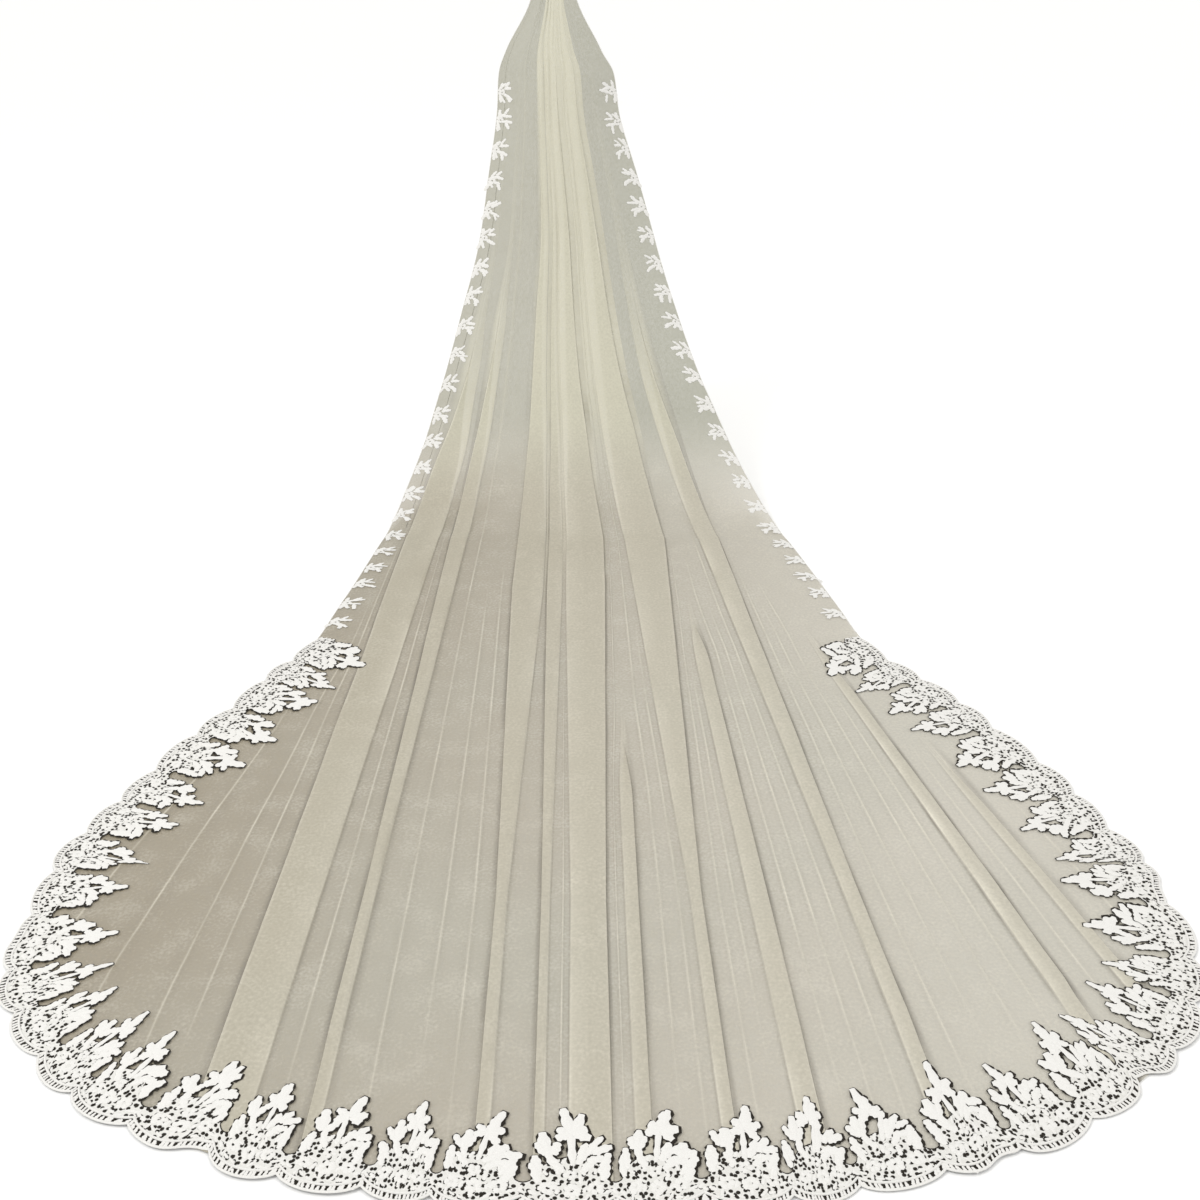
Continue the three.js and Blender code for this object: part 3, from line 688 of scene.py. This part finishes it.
# One scallop, in millimetres: along the edge from its middle, and inwards from the outer edge.
# turn: degrees from straight inwards towards +along, bend: degrees that the leaf curls over its length
LEAF_COLUMNS = ("along", "inwards", "turn", "length", "width", "bend", "rise")
ALONG, INWARDS, TURN = range(3)
SPOT = slice(ALONG, INWARDS + 1)
SIZES = slice(LEAF_COLUMNS.index("length"), LEAF_COLUMNS.index("width") + 1)
BOUQUET = np.array([
    [0.0, 148, 0, 50, 17, 4, 2.4],
    [1.5, 150, 2, 36, 18, -6, 2.2],
    [-1.0, 148, -58, 27, 17, -20, 2.2],
    [1.0, 148, 62, 28, 17, 20, 2.2],
    [-2.0, 154, -128, 26, 17, 12, 2.0],
    [2.0, 154, 128, 27, 17, -12, 2.0],
    [0.0, 92, 0, 62, 10, 2, 1.8],
    [-22, 88, -16, 38, 12, 10, 1.7],
    [-32, 110, -6, 42, 19, 6, 2.4],
    [-28, 112, 20, 28, 14, 6, 2.0],
    [-36, 112, -36, 28, 14, -6, 2.0],
    [8, 94, 36, 32, 14, 50, 2.0],
    [15, 106, 18, 26, 14, 60, 2.0],
    [24, 110, 40, 30, 15, 50, 2.2],
    [30, 112, 76, 30, 15, 20, 2.2],
    [20, 100, 84, 28, 14, -30, 2.0],
    [-45, 62, -10, 34, 14, 14, 2.0],
    [-43, 84, -20, 28, 14, 20, 2.0],
    [45, 62, 12, 34, 14, -14, 2.0],
    [42, 84, 24, 28, 14, -20, 2.0],
    [-12, 82, -40, 30, 13, 30, 1.8],
    [12, 82, 40, 28, 13, -30, 1.8],
    [-40, 76, -30, 26, 13, 20, 1.8],
    [38, 76, 30, 26, 13, -20, 1.8],
])
ROSETTE_COLUMNS = ("along", "inwards", "petals", "radius")
ROSETTES = np.array([[-34, 50, 6, 12.5], [2, 46, 7, 13.5], [36, 50, 6, 12.5], [-2, 76, 5, 11.0]])
OUTER_ALONG = np.array([-0.5, -0.4, -0.26, -0.12, 0.0, 0.12, 0.26, 0.4, 0.5])
OUTER_INWARDS = np.array([20.0, 11.5, 4.5, 1.0, 0.0, 1.0, 4.5, 11.5, 20.0])
INNER_ALONG = np.array([-0.5, -0.44, -0.37, -0.3, -0.15, 0.0, 0.15, 0.3, 0.37, 0.44, 0.5])
INNER_INWARDS = np.array([58.0, 60.0, 76.0, 92.0, 104.0, 108.0, 104.0, 92.0, 76.0, 60.0, 58.0])
LADDER_RUNGS = 18
LADDER_DEPTH = 15.0
SEED_PITCH = 17.0
LACE_LIFT = 0.0021
WEB_RISE = 0.0006
SHADE_SHEET_RISE = 0.0002
EDGE_CORD = 4.4
INNER_CORD = 4.6
STEM_FOOT = 90.0
MM = 0.001
# Places where the hem is pulled in: scallops from the start of the lace, and how far
PUCKERS = np.array([[14.8, 0.018], [24.7, 0.018], [27.2, 0.019], [31.3, 0.014], [9.4, 0.010]])
PUCKER_REACH = 0.034
# How a leaf's painted shadow outline, a larger dark copy under it, differs from the leaf, column by column
SHADOW_OUTLINE = np.array([1.2, -2.0, 0.0, 3.8, 5.0, 0.0, 0.0])


def outer_edge(share):
    """Distance in to the scalloped outer edge, by the share of a scallop from its middle."""
    return through(OUTER_ALONG, OUTER_INWARDS, share)


def inner_edge(share):
    """Distance in to the edge of the lace's solid body between its sprays."""
    return through(INNER_ALONG, INNER_INWARDS, share)


def hem_line():
    """The veil's outer edge on the floor, from the left round to the right, and its length so far."""
    at = np.linspace(FIRST_FLOOR_ROW, len(SECTIONS) - 1, 500)
    back, centre, half = section(at, "back"), section(at, "centre"), section(at, "half")
    turn = np.linspace(0, math.pi, 900)[1:-1]
    depth = section(at[-1:], "bow") + section(at[-1:], "trim")
    aside = np.abs(np.cos(turn)) ** (2 / HEM_POWER) * np.sign(np.cos(turn))
    end_x = centre[-1] - half[-1] * aside
    end_y = -back[-1] - depth * np.sin(turn) ** (2 / HEM_POWER)
    x = np.concatenate([centre - half, end_x, (centre + half)[::-1]])
    y = np.concatenate([-back, end_y, -back[::-1]])
    length = np.concatenate([[0], np.cumsum(np.hypot(np.diff(x), np.diff(y)))])
    even = np.linspace(0, length[-1], 1600)
    line = np.stack([np.interp(even, length, x), np.interp(even, length, y)], axis=-1)
    return line, even


HEM, HEM_LENGTH = hem_line()
IN_LACE = np.flatnonzero(HEM[:, 1] < -LACE_START)
LACE_FROM = HEM_LENGTH[IN_LACE[0]]
LACE_TO = HEM_LENGTH[IN_LACE[-1]]
UNITS = LACE_LENGTHS * UNITS_PER_LENGTH
PITCH = (LACE_TO - LACE_FROM) / UNITS
HEM_WAY = np.gradient(HEM, HEM_LENGTH, axis=0)


def on_hem(along, inwards, rise):
    """Points of the lace from distances along the hem, in from it and up from the tulle.

    Sine waves along the hem ease the scallops closer and wider apart and in and out, and bell-shaped
    dips pull them in at the puckers.
    """
    for unit, depth in PUCKERS:
        inwards = inwards + depth * np.exp(-((along - LACE_FROM - unit * PITCH) / PUCKER_REACH) ** 2)
    inwards = inwards + 0.005 * np.sin(along / 0.083) * np.sin(along / 0.31 + 1) + 0.002
    along = along + 0.012 * np.sin(along / 0.113 + 2) + 0.007 * np.sin(along / 0.051)
    x, y = (np.interp(along, HEM_LENGTH, HEM[:, i]) for i in (0, 1))
    way_x, way_y = (np.interp(along, HEM_LENGTH, HEM_WAY[:, i]) for i in (0, 1))
    size = np.hypot(way_x, way_y)
    x, y = x - way_y / size * inwards, y + way_x / size * inwards
    return np.stack([x, y, FLOOR + TULLE_LIFT + LACE_LIFT + ripple(x, y) + rise], axis=-1)


def leaves(rows):
    """Raised leaves in flat coordinates, as a grid for each.

    A leaf's line turns evenly by its bend. Its half width follows the sine of the share along it to a low
    power, with a ripple that notches its sides. It swells across by one less the square of the share across.
    """
    part = {name: column(rows, LEAF_COLUMNS, name)[:, None, None] for name in LEAF_COLUMNS}
    s = np.linspace(0, 1, LEAF_STEPS)[None, :, None]
    t = np.linspace(-1, 1, LEAF_SIDES)[None, None, :]
    turn = np.radians(part["turn"] + part["bend"] * (s - 0.5))
    mid = np.radians(part["turn"] + part["bend"] * (s / 2 - 0.5))
    notched = 1 + 0.2 * np.sin(5 * math.pi * s + part["length"])
    half = part["width"] / 2 * (0.52 + 0.48 * np.sin(math.pi * s ** 0.85) ** 0.55) * notched
    along = part["along"] + part["length"] * s * np.sin(mid) + half * t * np.cos(turn)
    inwards = part["inwards"] + part["length"] * s * np.cos(mid) - half * t * np.sin(turn)
    rise = part["rise"] * (1 - 0.9 * t * t) * (0.45 + 0.55 * np.sin(math.pi * s))
    return along, inwards, rise + 0 * along


def petals_of(rows):
    """Leaf rows for rosettes: each row gives a middle, a number of petals and a radius."""
    made = []
    for along, inwards, count, radius in rows:
        turn = 360 * np.arange(int(count)) / count + 17 * along
        same = np.ones(int(count))
        made.append(np.stack([
            along + 0.22 * radius * np.sin(np.radians(turn)),
            inwards + 0.22 * radius * np.cos(np.radians(turn)),
            turn, 0.8 * radius * same, 0.86 * radius * same, 0 * same, 2.0 * same,
        ], axis=-1))
    return np.concatenate(made)


def seeds_of(width):
    """Leaf rows for the raised seeds in a scallop's body, fanned out from its outer edge."""
    scatter = np.random.default_rng(8)
    across = np.arange(-width / 2, width / 2, SEED_PITCH * 0.8)
    along, inwards = np.meshgrid(across, np.arange(24, 108, SEED_PITCH))
    along = along + SEED_PITCH * 0.4 * (np.arange(len(along)) % 2)[:, None]
    along = (along + scatter.uniform(-3, 3, along.shape)).ravel()
    inwards = (inwards + scatter.uniform(-3, 3, inwards.shape)).ravel()
    turn = 0.9 * along + scatter.uniform(-60, 60, along.shape)
    share = np.clip(along / width, -0.5, 0.5)
    kept = (inwards > outer_edge(share) + LADDER_DEPTH - 1) & (inwards < inner_edge(share) - 9)
    rosette = {name: column(ROSETTES, ROSETTE_COLUMNS, name)[None, :] for name in ROSETTE_COLUMNS}
    spread = np.hypot(along[:, None] - rosette["along"], inwards[:, None] - rosette["inwards"])
    kept &= (spread > rosette["radius"] + 1).all(axis=1)
    length = scatter.uniform(10, 18, along.shape)
    wide = scatter.uniform(5.0, 8.0, along.shape)
    bend = scatter.uniform(-60, 60, along.shape)
    rows = np.stack([along, inwards, turn, length, wide, bend, 1.6 + 0 * along], axis=-1)
    return rows[kept]


def swung(rows, swing, size):
    """Leaf rows of a whole spray turned by some degrees and sized about the foot of its stem."""
    turn = np.radians(swing)
    along, inwards = size * rows[:, ALONG], size * (rows[:, INWARDS] - STEM_FOOT)
    made = rows.copy()
    made[:, ALONG] = along * math.cos(turn) + inwards * math.sin(turn)
    made[:, INWARDS] = STEM_FOOT + inwards * math.cos(turn) - along * math.sin(turn)
    made[:, TURN] += swing
    made[:, SIZES] *= size
    return made


def ladder_of(width):
    """Leaf rows for the rungs between the two cords of the outer edge."""
    share = (np.arange(LADDER_RUNGS) + 0.5) / LADDER_RUNGS - 0.5
    same = np.ones(LADDER_RUNGS)
    length = (LADDER_DEPTH - 1) * same
    inwards = outer_edge(share) + 0.5
    return np.stack([share * width, inwards, 20 * share, length, 5.6 * same, 0 * same, 1.2 * same], axis=-1)


def cord(along, inwards, thick):
    """A half-round cord along a flat line, as a grid: five points across in a half circle."""
    way = np.stack([np.gradient(along), np.gradient(inwards)])
    way = (way / np.hypot(*way))[:, :, None]
    turn = np.linspace(0, math.pi, 5)[None, :]
    side = np.cos(turn) * thick / 2
    rise = thick * 0.6 * np.sin(turn) + 0 * along[:, None]
    return along[:, None] - way[1] * side, inwards[:, None] + way[0] * side, rise


def joined(grids):
    """Several arrays of points on grids as one list of points and one of faces."""
    points, faces, count = [], [], 0
    for grid in grids:
        points.append(grid.reshape(-1, 3))
        faces.append(grid_faces(*grid.shape[-3:-1], grid.size // math.prod(grid.shape[-3:])) + count)
        count += len(points[-1])
    return np.concatenate(points), np.concatenate(faces)


def lace_length(index):
    """One length of lace: raised leaves and cords, the pierced web of its body, and a near-black sheet of
    painted shade under both, seen through the web's holes and as painted shadow outlines round the bouquets.
    """
    width = PITCH / MM
    scatter = np.random.default_rng(40 + index)
    base = np.concatenate([BOUQUET, petals_of(ROSETTES), seeds_of(width), ladder_of(width)])
    first = LACE_FROM + index * UNITS_PER_LENGTH * PITCH
    raised, shade = [], []
    for k in range(UNITS_PER_LENGTH):
        rows = base.copy()
        rows[:, TURN] += scatter.normal(0, 7, len(rows))
        rows[:, SIZES] *= scatter.normal(1, 0.08, (len(rows), 2))
        rows[:, SPOT] += scatter.normal(0, 0.8, (len(rows), 2))
        swing, size = scatter.normal(0, 7), scatter.normal(1, 0.06)
        rows[:len(BOUQUET)] = swung(rows[:len(BOUQUET)], swing, size)
        middle = first + (k + 0.5) * PITCH
        along, inwards, rise = leaves(rows)
        raised.append(on_hem(middle + along * MM, inwards * MM, rise * MM))
        # Painted shadow outlines: larger dark copies of the bouquet's leaves, drawn in the painted shade
        # sheet
        along, inwards, rise = leaves(rows[:len(BOUQUET)] + SHADOW_OUTLINE)
        shade.append(on_hem(middle + along * MM, inwards * MM, 0 * rise))
    share = np.linspace(0, UNITS_PER_LENGTH, 26 * UNITS_PER_LENGTH + 1)
    local = (share % 1) - 0.5
    local[-1] = 0.5
    for inset, thick in ((1.5, EDGE_CORD), (LADDER_DEPTH, INNER_CORD)):
        along, inwards, rise = cord(share * width, outer_edge(local) + inset, thick)
        raised.append(on_hem(first + along * MM, inwards * MM, rise * MM))
    along = first + (share * width * MM)[:, None]
    t = np.linspace(0, 1, 7)[None, :]
    low, high = outer_edge(local)[:, None], inner_edge(local)[:, None]
    # A sheet of painted shade under the body, seen through the web's holes
    shade.append(on_hem(along + 0 * t, mix(low + 1, high + 2.5, t) * MM, SHADE_SHEET_RISE))
    inwards = mix(low + LADDER_DEPTH, high, t) * MM
    web = on_hem(along + 0 * t, inwards, WEB_RISE)
    number = f"{index + 1:02d}"
    border = mesh_object(f"lace_border_{number}", *joined(raised), LACE)
    body = mesh_object(f"lace_web_{number}", *joined([web]), WEB)
    give_map(body, along + 0 * t, inwards)
    painted_shade_sheet = mesh_object(f"lace_painted_shade_{number}", *joined(shade), PAINTED_SHADE)
    return border, body, painted_shade_sheet


lace_pieces = []
for i in range(LACE_LENGTHS):
    made = lace_length(i)
    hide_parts(f"lace_{i + 1:02d}")
    lace_pieces += made


# Sprays and edge cords
SPRAY = np.array([
    [-1, 3, -34, 36, 11, 14, 2.2],
    [3, 5, 58, 34, 11, -14, 2.2],
    [10, 24, 14, 32, 11, 20, 2.0],
    [-7, 12, -80, 24, 11, 10, 2.0],
    [14, 10, 96, 26, 11, -10, 2.0],
    [14, 36, 62, 26, 11, 14, 2.0],
    [-9, 26, 6, 30, 11, 14, 2.0],
    [-14, 30, -52, 24, 10, 14, 2.0],
])
SPRAY_FLOWER = np.array([[4, 18, 5, 11.0]])
SPRAY_LIFT = 0.0008
CORD_START = 0.12
CORD_INSET = 0.0015
CORD_RADIUS = 0.0013
CORD_LIFT = 0.0004


def edge_line(side):
    """Places in rows along one edge of the fall, with the edge's length so far."""
    at = np.linspace(0, FIRST_FLOOR_ROW + 4, 1500)
    line = place(at, side + 0 * at, 0 * at)
    steps = np.linalg.norm(np.diff(line, axis=0), axis=1)
    return at, np.concatenate([[0], np.cumsum(steps)])


def on_edge(side, along, inset, out):
    """Points on the tulle beside an edge, from distances along it, in from it and out of the cloth."""
    rows, length = edge_line(side)
    at = np.interp(along, length, rows)
    half = section(at, "half") - section(at, "trim")
    size = np.hypot(1, section(at, "wrap") / half * 2 * STRAIGHT_FROM)
    return place(at, side * (1 - inset / (half * size)), out)


def spray_spot(number):
    """Distance from the comb along an edge to a spray: the pitch grows a little from each to the next."""
    return FIRST_SPRAY + number * SPRAY_PITCH + number ** 2 * SPRAY_STRETCH


def sprays(name, side):
    """All the sprays of one side as joined leaves, each spray a little different."""
    scatter = np.random.default_rng(5 + side)
    flower = petals_of(SPRAY_FLOWER)
    verts, faces, count = [], [], 0
    for k in range(SPRAYS_PER_SIDE):
        rows = np.concatenate([SPRAY, flower])
        rows[:, TURN] += scatter.normal(0, 12, len(rows))
        rows[:, SIZES] *= scatter.normal(1.05, 0.12, (len(rows), 2))
        along, inset, rise = leaves(rows)
        along, inset = 0.9 * along + scatter.normal(0, 4), 1.1 * inset
        along = spray_spot(k) + along * MM
        points = on_edge(side, along, inset * MM, rise * MM + SPRAY_LIFT)
        verts.append(points.reshape(-1, 3))
        grid = grid_faces(LEAF_STEPS, LEAF_SIDES, len(rows)) + count
        faces.append(grid if side < 0 else grid[:, ::-1])
        count += len(verts[-1])
    return mesh_object(name, np.concatenate(verts), np.concatenate(faces), LACE)


def edge_cord(name, side):
    """A thin cord sewn along one upper edge: a circle of points swept along it."""
    along = np.linspace(CORD_START, spray_spot(SPRAYS_PER_SIDE), 320)[:, None]
    turn = np.linspace(0, 2 * math.pi, 7)[None, :]
    inset = CORD_INSET + CORD_RADIUS * np.cos(turn)
    out = CORD_LIFT + CORD_RADIUS * np.sin(turn)
    points = on_edge(side, along + 0 * turn, inset, out)
    faces = grid_faces(*points.shape[:2])
    return mesh_object(name, points, faces if side > 0 else faces[:, ::-1], LACE)


trims = []
for side, word in ((-1, "left"), (1, "right")):
    sewn = sprays(f"sprays_{word}", side)
    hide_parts(*[f"spray_{word}_{k + 1:02d}" for k in range(SPRAYS_PER_SIDE)])
    trims += [sewn, edge_cord(f"edge_cord_{word}", side)]

for made in lace_pieces + trims:
    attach(made, "root")


# Comb
COMB = comb_material()
for made in bpy.context.scene.objects:
    if made.name.startswith("comb"):
        made.data.materials.clear()
        made.data.materials.append(COMB)


# Floor, light and camera
FLOOR_REACH = 60.0
FLOOR_GAP = 0.0005
WORLD_TINT = (1.0, 0.995, 0.985, 1.0)
WORLD_STRENGTH = 1.06
LIGHT_AIM = (0.1, -1.6, -1.4)
CAMERA_SPOT = (0.148, -4.62, 0.10)
CAMERA_TILT = 62.45
CAMERA_LENS = 39.0
CAMERA_SENSOR = 36.0
span = np.array([-FLOOR_REACH, FLOOR_REACH])
corners = np.stack([*np.meshgrid(span, span), np.full((2, 2), FLOOR - FLOOR_GAP)], axis=-1)
floor = mesh_object("floor", corners, np.array([[0, 1, 3, 2]]), floor_material(), smooth=False)

world = bpy.data.worlds.new("studio")
world.use_nodes = True
sky = world.node_tree.nodes["Background"]
sky.inputs["Color"].default_value = WORLD_TINT
sky.inputs["Strength"].default_value = WORLD_STRENGTH
bpy.context.scene.world = world


def soft_box(name, spot, aim, size, power):
    """A square soft light at a spot, turned towards its aim."""
    lamp = bpy.data.lights.new(name, "AREA")
    lamp.energy = power
    lamp.size = size
    made = bpy.data.objects.new(name, lamp)
    made.location = spot
    way = np.array(aim, dtype=float) - np.array(spot, dtype=float)
    flat = math.hypot(way[0], way[1])
    made.rotation_euler = (math.atan2(flat, -way[2]), 0.0, math.atan2(-way[0], way[1]))
    bpy.context.scene.collection.objects.link(made)


soft_box("key_light", (-3.2, -3.6, 3.2), LIGHT_AIM, size=1.6, power=90.0)
soft_box("fill_light", (3.5, -5.0, 2.6), LIGHT_AIM, size=3.5, power=25.0)

camera_data = bpy.data.cameras.new("photo_camera")
camera_data.lens = CAMERA_LENS
camera_data.sensor_width = CAMERA_SENSOR
camera = bpy.data.objects.new("photo_camera", camera_data)
camera.location = CAMERA_SPOT
camera.rotation_euler = (math.radians(CAMERA_TILT), 0.0, 0.0)
bpy.context.scene.collection.objects.link(camera)
bpy.context.scene.camera = camera
bpy.context.scene.view_settings.view_transform = "Standard"
